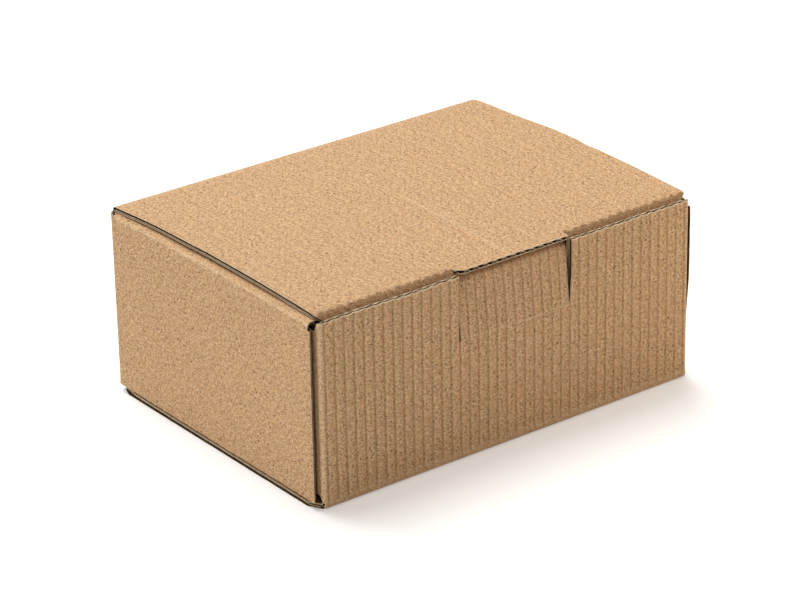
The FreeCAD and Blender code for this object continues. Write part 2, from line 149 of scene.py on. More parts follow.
class SoftNoise:
    """Smooth value noise in three dimensions, the same in each run."""

    def __init__(self, seed: int, size: int = 64) -> None:
        """Fill the lattice of random values."""
        self.size = size
        self.lattice = np.random.default_rng(seed).uniform(-1.0, 1.0, (size, size, size))

    def __call__(self, points: Places, scale: float) -> Places:
        """Read the noise.

        Args:
            points: Places in millimetres, one row each.
            scale: Size of one bump in millimetres.

        Returns:
            One value from -1 to 1 for each point.
        """
        scaled = points / scale + 1000.0
        cell = np.floor(scaled).astype(int)
        part = scaled - cell
        part = part * part * (3.0 - 2.0 * part)
        total = np.zeros(len(points))
        for corner in range(8):
            step = np.array([(corner >> axis) & 1 for axis in range(3)])
            index = (cell + step) % self.size
            weight = np.prod(np.where(step == 1, part, 1.0 - part), axis=1)
            total += weight * self.lattice[index[:, 0], index[:, 1], index[:, 2]]
        return total


NOISE = SoftNoise(SEED)


@dataclass
class Grid:
    """Cells of a flat cut-out, given by its columns, rows and the cells that are kept."""

    columns: Places
    rows: Places
    keep: Callable[[Places, Places], np.ndarray]

    def cells(self) -> np.ndarray:
        """Tell for each cell, by its middle, whether it is board or cut away."""
        across = (self.columns[:-1] + self.columns[1:]) / 2
        along = (self.rows[:-1] + self.rows[1:]) / 2
        grid_across, grid_along = np.meshgrid(across, along, indexing="ij")
        return self.keep(grid_across, grid_along)

    def thinned(self, column_step: int, row_step: int) -> Grid:
        """Give the same cut-out with fewer grid lines.

        Args:
            column_step: Keeps each column of this number.
            row_step: Keeps each row of this number.

        Returns:
            A grid that still has every line on which a cell is cut.
        """
        kept = self.cells()
        lines = []
        for places, step, cut in (
                (self.columns, column_step, np.any(kept[1:] != kept[:-1], axis=1)),
                (self.rows, row_step, np.any(kept[:, 1:] != kept[:, :-1], axis=0))):
            needed = np.arange(places.size) % step == 0
            needed[[0, -1]] = True
            needed[1:-1] |= cut
            lines.append(places[needed])
        return Grid(lines[0], lines[1], self.keep)

    def drawn_in(self, margin: float) -> Grid:
        """Give the same cut-out with the edges along the flutes drawn in by a margin."""
        low = self.columns[0] + margin
        high = self.columns[-1] - margin

        def keep(across: np.ndarray, along: np.ndarray) -> np.ndarray:
            """Keep what is board a margin to each side as well."""
            inside = (across > low) & (across < high)
            return (inside & self.keep(across, along) & self.keep(across - margin, along)
                    & self.keep(across + margin, along))

        return Grid(self.columns, self.rows, keep)


@dataclass
class Shell:
    """Vertices and faces gathered for one mesh, with a sheet coordinate and masks of wear, painted shade
    and painted highlight.
    """

    points: list[Places] = field(default_factory=list)
    sheet: list[Places] = field(default_factory=list)
    masks: dict[str, list[Places]] = field(default_factory=dict)
    faces: list[np.ndarray] = field(default_factory=list)
    kinds: list[np.ndarray] = field(default_factory=list)
    count: int = 0

    def add(self, points: Places, sheet: Places, masks: dict[str, Places],
            faces: np.ndarray, kinds: np.ndarray) -> None:
        """Append vertices with their data and the faces that use them."""
        self.points.append(points)
        self.sheet.append(sheet)
        for name, values in masks.items():
            self.masks.setdefault(name, []).append(values)
        self.faces.append(faces + self.count)
        self.kinds.append(kinds)
        self.count += len(points)


@dataclass
class Ply:
    """One paper of the board: two surfaces a little apart, closed round every cut edge."""

    low: Callable[[Places, Places], Places]
    high: Callable[[Places, Places], Places]
    paper: Paper
    # Share of painted shade on the outer and the inner surface, where a surface faces the flute hollows
    # inside the board.
    hollow: tuple[float, float] = (0.0, 0.0)

    def build(self, shell: Shell, grid: Grid, surface: Surface,
              masks: Callable[[Places, Places, Places], dict[str, Places]]) -> None:
        """Add this paper to a shell as a closed sheet.

        Args:
            shell: Where the mesh is gathered.
            grid: Cells of the cut-out.
            surface: Gives a point in space for across, along and depth below the outer face.
            masks: Gives the masks of wear and painted shade for across, along and the points in space.
        """
        across, along = np.meshgrid(grid.columns, grid.rows, indexing="ij")
        flat_across = across.ravel()
        flat_along = along.ravel()
        total = flat_across.size
        number = np.arange(total).reshape(across.shape)
        kept = grid.cells()
        first = number[:-1, :-1][kept]
        right = number[1:, :-1][kept]
        far = number[1:, 1:][kept]
        up = number[:-1, 1:][kept]
        outer = np.stack([first, right, far, up], axis=1)
        inner = np.stack([up, far, right, first], axis=1) + total
        rim = self.rim(kept, number, total)
        faces = np.concatenate([outer, inner, rim])
        used = np.unique(faces)
        renumber = np.full(2 * total, -1)
        renumber[used] = np.arange(used.size)
        outside = surface(flat_across, flat_along, self.low(flat_across, flat_along))
        inside = surface(flat_across, flat_along, self.high(flat_across, flat_along))
        points = np.concatenate([outside, inside])[used]
        both_across = np.concatenate([flat_across, flat_across])[used]
        both_along = np.concatenate([flat_along, flat_along])[used]
        sheet = np.stack([both_across, both_along], axis=1)
        kinds = np.full(len(faces), self.paper.value)
        kinds[len(outer) + len(inner):] = Paper.CUT.value
        # Painted shade on the surfaces that face the flute hollows.
        hollow = np.repeat(self.hollow, total)[used]
        shell.add(points, sheet, {**masks(both_across, both_along, points), "hollow": hollow},
                  renumber[faces], kinds)

    @staticmethod
    def rim(kept: np.ndarray, number: np.ndarray, total: int) -> np.ndarray:
        """Give the faces that close the paper along each side of a kept cell that is cut.

        Args:
            kept: Which cells are board.
            number: Vertex numbers of the outer surface.
            total: How many vertices one surface has.

        Returns:
            Four vertex numbers a face.
        """
        padded = np.pad(kept, 1)
        strips = []
        inside = padded[1:-1, 1:-1]
        sides = (
            (padded[1:-1, :-2], number[1:, :-1], number[:-1, :-1]),
            (padded[1:-1, 2:], number[:-1, 1:], number[1:, 1:]),
            (padded[:-2, 1:-1], number[:-1, :-1], number[:-1, 1:]),
            (padded[2:, 1:-1], number[1:, 1:], number[1:, :-1]),
        )
        for beside, start, finish in sides:
            cut = inside & ~beside
            one = start[cut]
            two = finish[cut]
            strips.append(np.stack([one, two, two + total, one + total], axis=1))
        return np.concatenate(strips)


@dataclass
class BoardPiece:
    """A stretch of corrugated board: two liners with the wavy medium between them."""

    board: Board
    grid: Grid
    surface: Surface
    masks: Callable[[Places, Places, Places], dict[str, Places]]
    recess: float = 0.4
    inner_recess: float = 0.0
    # Strength of the painted shade line in each flute groove and of the painted highlight beside it.
    groove: float = 1.0

    def wave(self, across: Places) -> Places:
        """Give the depth of the medium's middle line."""
        board = self.board
        swing = board.thickness / 2 - board.liner - board.medium / 2
        return board.thickness / 2 - swing * np.cos(2 * math.pi * board.phase(across))

    def build_into(self, shell: Shell) -> None:
        """Add the three papers to a shell."""
        board = self.board
        half = board.medium / 2
        # The pair after each paper gives its painted shade on its outer and its inner surface, inside the
        # board.
        papers = (
            (Ply(lambda a, b: np.zeros_like(a), lambda a, b: np.full_like(a, board.liner),
                 Paper.LINER, (0.0, 1.0)), self.grid),
            (Ply(lambda a, b: self.wave(a) - half, lambda a, b: self.wave(a) + half,
                 Paper.MEDIUM, (1.0, 1.0)), self.grid.drawn_in(self.recess).thinned(1, 3)),
            (Ply(lambda a, b: np.full_like(a, board.thickness - board.liner),
                 lambda a, b: np.full_like(a, board.thickness), Paper.LINER, (1.0, 0.0)),
             self.grid.drawn_in(self.inner_recess).thinned(2, 3)),
        )
        for paper, grid in papers:
            paper.build(shell, grid, self.surface, self.marked)

    def marked(self, across: Places, along: Places, points: Places) -> dict[str, Places]:
        """Give the wear masks, with painted shade along each flute groove and a painted highlight on the
        lit side of each crest.
        """
        place = self.board.phase(across + drift(across, along)) * self.board.pitch
        # Painted shade along each groove and a painted highlight 1.2 mm to its right, on the side the lamp
        # lights.
        groove = smooth(hat(place + 0.2, 1.3)) * self.groove
        crest = smooth(hat(place - 1.2, 0.8)) * self.groove
        return {**self.masks(across, along, points), "groove": groove, "crest": crest}


@dataclass(frozen=True)
class Run:
    """A straight stretch of a folded path."""

    length: float


@dataclass(frozen=True)
class Fold:
    """A round fold of a path, by its outer radius and its turn in degrees."""

    radius: float
    turn: float


@dataclass
class FoldedPath:
    """A path of runs and folds in a plane, with the board's depth to its right-hand side."""

    start: tuple[float, float]
    heading: float
    steps: Sequence[Run | Fold]
    origin: float = 0.0

    def spans(self) -> list[tuple[float, float, Run | Fold, np.ndarray, float]]:
        """Give for each step its first and last distance, itself, its start and its heading."""
        place = np.array(self.start, float)
        heading = math.radians(self.heading)
        distance = self.origin
        found = []
        for step in self.steps:
            if isinstance(step, Run):
                length = step.length
                found.append((distance, distance + length, step, place.copy(), heading))
                place = place + length * np.array([math.cos(heading), math.sin(heading)])
            else:
                turn = math.radians(step.turn)
                length = abs(turn) * step.radius
                found.append((distance, distance + length, step, place.copy(), heading))
                side = math.copysign(1.0, turn)
                normal = np.array([-math.sin(heading), math.cos(heading)]) * side
                centre = place + normal * step.radius
                heading += turn
                normal = np.array([-math.sin(heading), math.cos(heading)]) * side
                place = centre - normal * step.radius
            distance += length
        return found

    def at(self, distance: Places, depth: Places) -> tuple[Places, Places, Places, Places]:
        """Give the point and the outward direction at a distance and depth.

        Args:
            distance: Distance along the outer face.
            depth: Distance below the outer face, to the side that the folds turn to.

        Returns:
            Two coordinates of the point and two of the outward direction.
        """
        one = np.zeros_like(distance)
        two = np.zeros_like(distance)
        out_one = np.zeros_like(distance)
        out_two = np.zeros_like(distance)
        spans = self.spans()
        turn_side = self.inner_side()
        for index, (first, last, step, place, heading) in enumerate(spans):
            lower = -np.inf if index == 0 else first
            upper = np.inf if index == len(spans) - 1 else last
            here = (distance >= lower) & (distance < upper)
            run = distance[here] - first
            if isinstance(step, Run):
                angle = np.full_like(run, heading)
                middle_one = place[0] + run * math.cos(heading)
                middle_two = place[1] + run * math.sin(heading)
            else:
                side = math.copysign(1.0, step.turn)
                angle = heading + side * run / step.radius
                centre = place + np.array([-math.sin(heading), math.cos(heading)]) * side * step.radius
                middle_one = centre[0] + np.sin(angle) * side * step.radius
                middle_two = centre[1] - np.cos(angle) * side * step.radius
            outward_one = np.sin(angle) * turn_side
            outward_two = -np.cos(angle) * turn_side
            one[here] = middle_one - outward_one * depth[here]
            two[here] = middle_two - outward_two * depth[here]
            out_one[here] = outward_one
            out_two[here] = outward_two
        return one, two, out_one, out_two

    def squeeze(self, distance: Places, thickness: float) -> Places:
        """Give the share of its thickness that the board keeps in a fold tighter than itself."""
        share = np.ones_like(distance)
        for first, last, step, _, _ in self.spans():
            if isinstance(step, Fold) and step.radius < thickness * TIGHT_FOLD:
                outside = np.maximum(first - distance, distance - last)
                inside = smooth(1.0 - outside / SQUEEZE_REACH)
                kept = SQUEEZED_SHARE * step.radius / thickness
                share = np.minimum(share, 1.0 - inside * (1.0 - kept))
        return share

    def inner_side(self) -> float:
        """Give +1 where the folds turn left and -1 where they turn right."""
        turns = [step.turn for step in self.steps if isinstance(step, Fold)]
        return math.copysign(1.0, turns[0]) if turns else 1.0

    def rows(self, run_step: float, fold_step: float) -> Places:
        """Give grid lines along the path, closer together round the folds."""
        places: set[float] = set()
        for first, last, step, _, _ in self.spans():
            gap = run_step if isinstance(step, Run) else fold_step
            places.update(round(value, 5) for value in spread(first, last, gap))
        return np.array(sorted(places))


@dataclass(frozen=True)
class BoxSizes:
    """Sizes of the folded box, in millimetres."""

    front_width: float = 256.0
    depth: float = 196.0
    height: float = 113.0
    wall_fold: float = 4.5
    corner_fold: float = 2.2
    roll_fold: float = 3.1
    hinge_fold: float = 3.5
    lid_fold: float = 6.0
    layer_gap: float = 0.3
    front_drop: float = 2.6
    ear_length: float = 72.0
    ear_foot: float = 6.0
    roll_start: float = 7.0
    side_setback: float = 5.0
    side_foot: float = 1.2
    roll_relief: float = 5.0
    flap_foot: float = 2.0
    base_corner: float = 2.5
    base_inset: float = 0.8
    corner_reach: float = 1.0
    lid_left: float = -126.8
    lid_right: float = 130.4
    lid_crown: float = 2.1672
    lip_setback: float = 2.0
    tuck_length: float = 40.0
    tuck_lean: float = 11.0
    tuck_width: float = 236.0
    window_foot: float = 18.0
    tab_width: float = 76.0
    tab_offset: float = 3.2
    tab_crease: float = 72.0
    tab_lean: float = 5.5
    tab_rise: float = 33.2
    tab_fold: float = 4.0
    tip_slope: float = 20.0
    tip_length: float = 5.0
    slit_gap: float = 0.4
    window_gap: float = 0.5

    @property
    def front(self) -> float:
        """Place of the front face."""
        return -self.depth / 2

    @property
    def back(self) -> float:
        """Place of the back face."""
        return self.depth / 2

    @property
    def wall_top(self) -> float:
        """Height of the front wall's cut edge."""
        return self.height - self.front_drop

    @property
    def ear_out(self) -> float:
        """Outer face of an ear."""
        return self.front_width / 2

    @property
    def base_flat(self) -> float:
        """Half of the base's width at its folds."""
        return self.ear_out - self.base_inset

    def side_out(self, board: Board) -> float:
        """Outer face of a side panel."""
        return self.ear_out + self.layer_gap + board.thickness

    def roll_radius(self, board: Board) -> float:
        """Outer radius of the roll over an ear."""
        return (3 * board.thickness + 2 * self.layer_gap) / 2

    def roll_height(self, board: Board) -> float:
        """Height of the roll's axis."""
        return self.height - board.thickness - self.layer_gap - self.roll_radius(board)

    @property
    def tab_edges(self) -> tuple[float, float]:
        """Left and right edge of the lock tab."""
        return self.tab_offset - self.tab_width / 2, self.tab_offset + self.tab_width / 2


def drift(across: Places, along: Places) -> Places:
    """Give how far a flute strays sideways."""
    return 0.25 * flat_noise(across, along * 0.4, 21.0)


def smooth(value: Places) -> Places:
    """Ease a share from 0 to 1."""
    value = np.clip(value, 0.0, 1.0)
    return value * value * (3.0 - 2.0 * value)


def hat(value: Places, half: float) -> Places:
    """Give 1 at zero, falling evenly to 0 at a distance of half to each side."""
    return np.clip(1 - np.abs(value) / half, 0, 1)


def flat_noise(one: Places, two: Places, scale: float) -> Places:
    """Read the noise on a plane, with bumps of the size of scale."""
    return NOISE(np.stack([one, two, np.zeros_like(one)], axis=1), scale)


def whole(across: np.ndarray, along: np.ndarray) -> np.ndarray:
    """Keep every place of a cut-out."""
    return np.ones(across.shape, bool)


@dataclass(frozen=True)
class Relief:
    """How the outer paper departs from a flat sheet, always inwards, in millimetres."""

    board: Board
    ridge: float = 0.42
    cushion: float = 0.28
    sway: float = 0.18
    sway_size: float = 62.0
    dimple: float = 0.05
    dimple_size: float = 7.0

    def depth(self, across: Places, along: Places, points: Places) -> Places:
        """Give how far the paper lies below its flat place.

        Args:
            across: Places across the flutes.
            along: Places along the flutes.
            points: The flat places in space.

        Returns:
            One depth for each place.
        """
        board = self.board
        phase = board.phase(across + drift(across, along))
        near = hat(phase * board.pitch, board.ridge_half_width)
        strength = 0.75 + 0.25 * flat_noise(across * 0.6, along * 0.15, 9.0)
        groove = (self.ridge * smooth(near) + self.cushion * np.cos(math.pi * phase) ** 2) * strength
        broad = self.sway * (0.5 + 0.5 * NOISE(points, self.sway_size))
        small = self.dimple * (0.5 + 0.5 * NOISE(points, self.dimple_size))
        return groove + broad + small


@dataclass
class BoxPart:
    """What the parts of the box share."""

    sizes: BoxSizes
    board: Board
    shell: Shell = field(default_factory=Shell)


@dataclass
class FrontWall(BoxPart):
    """Front wall with the two ears folded back from it."""

    crease_depth: float = 0.25
    rag: float = 0.2
    top_wave: float = 0.35
    left_gape: float = 0.55
    left_gape_top: float = 88.0
    right_gape: float = 1.2

    def path(self) -> FoldedPath:
        """Give the wall's outline seen from above, from one ear's end to the other's."""
        sizes = self.sizes
        fold = sizes.corner_fold
        side = sizes.ear_length - fold
        flat = sizes.ear_out - fold
        return FoldedPath(
            start=(-sizes.ear_out, sizes.front + sizes.ear_length), heading=-90.0,
            steps=(Run(side), Fold(fold, 90.0), Run(2 * flat), Fold(fold, 90.0), Run(side)),
            origin=-flat - fold * math.pi / 2 - side)

    def build(self) -> None:
        """Build the wall's three papers."""
        sizes = self.sizes
        board = self.board
        path = self.path()
        relief = Relief(board)
        left, right = sizes.tab_edges
        low = sizes.wall_fold
        high = sizes.wall_top
        flat = sizes.ear_out - sizes.corner_fold
        corner = flat + sizes.corner_fold * math.pi / 2
        ear_high = sizes.roll_height(board)

        def in_tab(across: Places) -> np.ndarray:
            """Tell which places lie between the lock tab's edges."""
            return (across > left) & (across < right)

        def rise(across: Places, along: Places) -> Places:
            """Bend the grid to the ears' lower top edges and slanted feet."""
            past = np.abs(across) - corner
            top = high - (high - ear_high) * smooth((past - 0.3) / 3.0)
            foot = low + sizes.ear_foot * np.clip((np.abs(across) - flat - 2.0) / sizes.ear_foot, 0, 1)
            share = (along - low) / (high - low)
            return foot + share * (top - foot)

        def surface(across: Places, along: Places, depth: Places) -> Places:
            """Place the wall in space."""
            one, two, out_one, out_two = path.at(across, np.zeros_like(across))
            height = rise(across, along)
            sink = relief.depth(across, along, np.stack([one, two, height], axis=1))
            on_front = smooth((flat + 1.0 - np.abs(across)) / 2.5)
            sink = sink * (0.35 + 0.65 * on_front) * (0.1 + 0.9 * smooth((height - low) / 3.0))
            crease = np.exp(-((along - sizes.tab_crease + 0.5) / 0.5) ** 2)
            sink = sink + self.crease_depth * crease * in_tab(across)
            total = board.sunk(depth, sink, path.squeeze(across, board.thickness))
            ragged = self.rag * flat_noise(across, depth * 3, 2.3) * smooth((along - high + 2.5) / 2.5)
            wave = self.top_wave * flat_noise(across, across * 0, 33.0) - self.top_wave
            lift = ragged + wave * smooth((along - high + 30.0) / 30.0)
            gape = smooth((along - sizes.tab_crease + 1.0) / 2.0)
            gape = gape * smooth((self.left_gape_top - along) / 8.0)
            beside = smooth(1 - (left - sizes.slit_gap - across) / 2.5) * (across < left)
            shift = -self.left_gape * gape * beside
            beside = smooth(1 - (across - right - sizes.slit_gap) / 2.5) * (across > right)
            shift += self.right_gape * smooth((along - sizes.tab_crease) / 22.0) * beside
            return np.stack([one - out_one * total + shift, two - out_two * total, height + lift], axis=1)

        rows = merge_places(spread(low, high, 5.5),
                            [low, low + 1.5, low + 3.0, high - 2.5, high - 1.2, high,
                             *(sizes.tab_crease + step for step in (-1.4, -0.9, -0.5, 0.0, 1.0))])
        edges = [left - sizes.slit_gap, right + sizes.slit_gap, -flat, flat, -corner, corner]
        folds = [*spread(-corner, -flat, 0.6), *spread(flat, corner, 0.6)]
        reliefs = [side * (corner + past) for side in (-1, 1) for past in (0.3, 1.0, 1.8, 2.6, 3.4)]
        columns = board.columns(path.origin, -path.origin, [*edges, *folds, *reliefs])

        def keep(across: np.ndarray, along: np.ndarray) -> np.ndarray:
            """Leave out the lock tab's opening."""
            inside = (across > left - sizes.slit_gap) & (across < right + sizes.slit_gap)
            return ~(inside & (along > sizes.tab_crease))

        def masks(across: Places, along: Places, points: Places) -> dict[str, Places]:
            """Give the wear at the foot, the corners, the tab's crease and the top edge, and painted shade
            on the ears past the corner folds.
            """
            foot = smooth((low + 4.0 - along) / 4.0) * 0.4
            corners = hat(np.abs(across) - (flat + corner) / 2, 2.2) * 0.3
            broken = smooth(0.5 + 0.8 * flat_noise(across, across * 0, 4.0))
            crease = hat(along - sizes.tab_crease + 0.3, 0.9) * in_tab(across)
            crease = crease * broken * smooth((across - left) / 60.0)
            # Painted shade on the ears, which stand back in shade beside the side panels.
            shaded = smooth((np.abs(across) - corner + 0.2) / 1.6)
            edge = smooth((along - high + 0.8) / 0.8) * 0.7
            return {"fold": np.maximum.reduce([foot, corners, crease, edge]), "crush": shaded}

        BoardPiece(board, Grid(columns, rows, keep), surface, masks, recess=2.4).build_into(self.shell)


@dataclass
class Base(BoxPart):
    """Base with the folds up to the front wall and the back wall."""

    rag: float = 0.12

    def build(self) -> None:
        """Build the base's three papers."""
        sizes = self.sizes
        board = self.board
        path = FoldedPath(
            start=(sizes.front, sizes.wall_fold), heading=-90.0,
            steps=(Fold(sizes.wall_fold, 90.0), Run(sizes.depth - 2 * sizes.wall_fold),
                   Fold(sizes.wall_fold, 90.0)))
        flat = sizes.base_flat
        out = sizes.side_out(board)
        turn = sizes.wall_fold * math.pi / 2
        length = sizes.depth - 2 * sizes.wall_fold
        relief = Relief(board, ridge=0.08, cushion=0.02, sway=0.0, dimple=0.02)

        def surface(across: Places, along: Places, depth: Places) -> Places:
            """Place the base in space."""
            from_end = turn + length - along
            room = out - sizes.base_corner * np.clip(1 - from_end / sizes.base_corner, 0, 1)
            room = room - (out - flat - sizes.layer_gap) * smooth(1 - (along - turn) / 5.0)
            past = np.clip((np.abs(across) - flat) / (out - flat), 0, 1)
            side = np.sign(across)
            wide = np.where(np.abs(across) > flat, side * (flat + past * (room - flat)), across)
            one, two, out_one, out_two = path.at(along, depth)
            sink = relief.depth(across, along, np.stack([wide, one, two], axis=1))
            folded = np.clip(1 - np.minimum(along, 2 * turn + length - along) / turn, 0, 1)
            sink = sink * (1 - depth / board.thickness) * folded
            ragged = self.rag * flat_noise(along, depth * 3, 3.0) - self.rag
            wide = wide + side * ragged * smooth((np.abs(across) - out + 2) / 2)
            return np.stack([wide, one - out_one * sink, two - out_two * sink], axis=1)

        def keep(across: np.ndarray, along: np.ndarray) -> np.ndarray:
            """Leave out the margins beside the two folds."""
            return ~((np.abs(across) > flat) & ((along < turn) | (along > turn + length)))

        columns = board.columns(-out, out, [-flat, flat, -out + 1.2, out - 1.2])
        rows = path.rows(7.0, 0.9)

        def masks(across: Places, along: Places, points: Places) -> dict[str, Places]:
            """Give the wear at the front fold."""
            fold = hat(along - turn / 2, turn) * 0.5
            return {"fold": fold, "crush": np.zeros_like(across)}

        BoardPiece(board, Grid(columns, rows, keep), surface, masks, recess=1.2,
                   groove=0.2).build_into(self.shell)


@dataclass
class BackWall(BoxPart):
    """Back wall with the two corner folds to the side panels."""

    def build(self) -> None:
        """Build the wall's three papers."""
        sizes = self.sizes
        board = self.board
        out = sizes.side_out(board)
        reach = sizes.corner_reach
        flat = out - sizes.wall_fold
        corner = sizes.wall_fold * math.pi / 2
        path = FoldedPath(
            start=(out, sizes.back - sizes.wall_fold - reach), heading=90.0,
            steps=(Run(reach), Fold(sizes.wall_fold, 90.0), Run(2 * flat),
                   Fold(sizes.wall_fold, 90.0), Run(reach)),
            origin=-flat - corner - reach)
        low = board.thickness + sizes.side_foot
        high = sizes.height - sizes.hinge_fold
        base_flat = sizes.base_flat
        relief = Relief(board)

        def surface(across: Places, along: Places, depth: Places) -> Places:
            """Place the wall in space."""
            one, two, out_one, out_two = path.at(across, np.zeros_like(across))
            sink = relief.depth(across, along, np.stack([one, two, along], axis=1))
            sink *= smooth((along - sizes.wall_fold) / 4.0) * smooth((high - along) / 4.0)
            sink *= smooth((flat + corner + reach - np.abs(across)) / 6.0)
            total = board.sunk(depth, sink)
            return np.stack([one - out_one * total, two - out_two * total, along], axis=1)

        def keep(across: np.ndarray, along: np.ndarray) -> np.ndarray:
            """Leave out what the base's fold takes up."""
            return ~((np.abs(across) < base_flat) & (along < sizes.wall_fold))

        rows = merge_places(spread(sizes.wall_fold, high, 5.5), [low, sizes.wall_fold, high])
        folds = [*spread(-corner - flat, -flat, 0.8), *spread(flat, flat + corner, 0.8)]
        columns = board.columns(path.origin, -path.origin, [-flat, flat, -base_flat, base_flat, *folds])

        def masks(across: Places, along: Places, points: Places) -> dict[str, Places]:
            """Give the wear at the foot."""
            fold = smooth((sizes.wall_fold + 3 - along) / 3.0) * 0.4
            return {"fold": fold, "crush": np.zeros_like(across)}

        BoardPiece(board, Grid(columns, rows, keep), surface, masks).build_into(self.shell)


@dataclass
class SidePanel(BoxPart):
    """Side panel rolled over the ear, with the inner flap that hangs down inside."""

    side: int = 1
    front_reach: float = 0.0
    crown: float = 1.3
    rag: float = 0.2

    def build(self) -> None:
        """Build the panel's three papers."""
        sizes = self.sizes
        board = self.board
        side = self.side
        out = sizes.side_out(board)
        low = board.thickness + sizes.side_foot
        radius = sizes.roll_radius(board)
        fold = sizes.roll_fold
        middle = sizes.roll_height(board)
        straight = middle + radius - fold - low
        flat = 2 * (radius - fold)
        quarter = fold * math.pi / 2
        inner = straight - (sizes.flap_foot - sizes.side_foot)
        path = FoldedPath(start=(out, low), heading=90.0,
                          steps=(Run(straight), Fold(fold, 90.0), Run(flat), Fold(fold, 90.0),
                                 Run(inner)))
        near = sizes.front + sizes.side_setback
        far = sizes.back - sizes.wall_fold - sizes.corner_reach
        roll_near = sizes.front + sizes.roll_start
        roll_far = sizes.back - sizes.roll_relief
        relief = Relief(board, ridge=0.03, cushion=0.02, sway=0.25)

        def surface(across: Places, along: Places, depth: Places) -> Places:
            """Place the panel in space."""
            one, two, out_one, out_two = path.at(along, np.zeros_like(along))
            flat_points = np.stack([one * side, across, two], axis=1)
            sink = relief.depth(across, along, flat_points)
            share = (along - straight) / (2 * quarter + flat)
            round_part = hat(share - 0.3, 0.5)
            scallop = 0.5 + 0.5 * np.cos(2 * math.pi * board.phase(across))
            uneven = 0.6 + 0.4 * NOISE(flat_points * np.array([0.2, 1.0, 0.2]), 8.0)
            sink = sink + round_part * (0.3 * scallop * uneven + 0.1)
            sink *= smooth((far - across) / 6.0) * 0.98 + 0.02
            total = board.sunk(depth, sink, path.squeeze(along, board.thickness))
            ragged = self.rag * flat_noise(along, depth * 3, 2.6) + self.rag
            ragged *= smooth((near + 2.0 - across) / 2.0)
            foot = self.rag * flat_noise(across, depth * 3, 3.0) * smooth((2.0 - along) / 2.0)
            bow = np.clip(1 - (across / roll_far) ** 2, 0, 1) * self.crown * smooth((two - 60.0) / 50.0)
            reach = self.front_reach * smooth((two - 25.0) / 45.0) * smooth((near + 12.0 - across) / 12.0)
            reach = reach * (along < straight)
            return np.stack([(one - out_one * total) * side, across + ragged - reach,
                             two - out_two * total + foot + bow], axis=1)

        def keep(across: np.ndarray, along: np.ndarray) -> np.ndarray:
            """Leave out the reliefs at both ends of the roll."""
            ends = (across < roll_near) | (across > roll_far)
            return ~((along > middle - low) & ends)

        rows = merge_places(path.rows(6.0, 0.7), [0.0, 2.0, middle - low, straight,
                                                  straight + quarter, straight + quarter + flat])
        columns = board.columns(near, far, [near, near + 1.0, near + 2.0, roll_near, roll_far, far])
        crest = straight + quarter * 0.35

        def masks(across: Places, along: Places, points: Places) -> dict[str, Places]:
            """Give the pale line along the roll's outer crease: wear, and a painted highlight where the
            crease catches the light.
            """
            uneven = 0.6 + 0.4 * flat_noise(across, across * 0, 6.0)
            line = hat(along - crest, 1.3) * uneven * (points[:, 2] > 90.0)
            return {"fold": line, "crush": np.zeros_like(across)}

        BoardPiece(board, Grid(columns, rows, keep), surface, masks, recess=6.5,
                   inner_recess=2.6, groove=0.0).build_into(self.shell)
        if side < 0:
            self.shell.faces = [faces[:, ::-1] for faces in self.shell.faces]


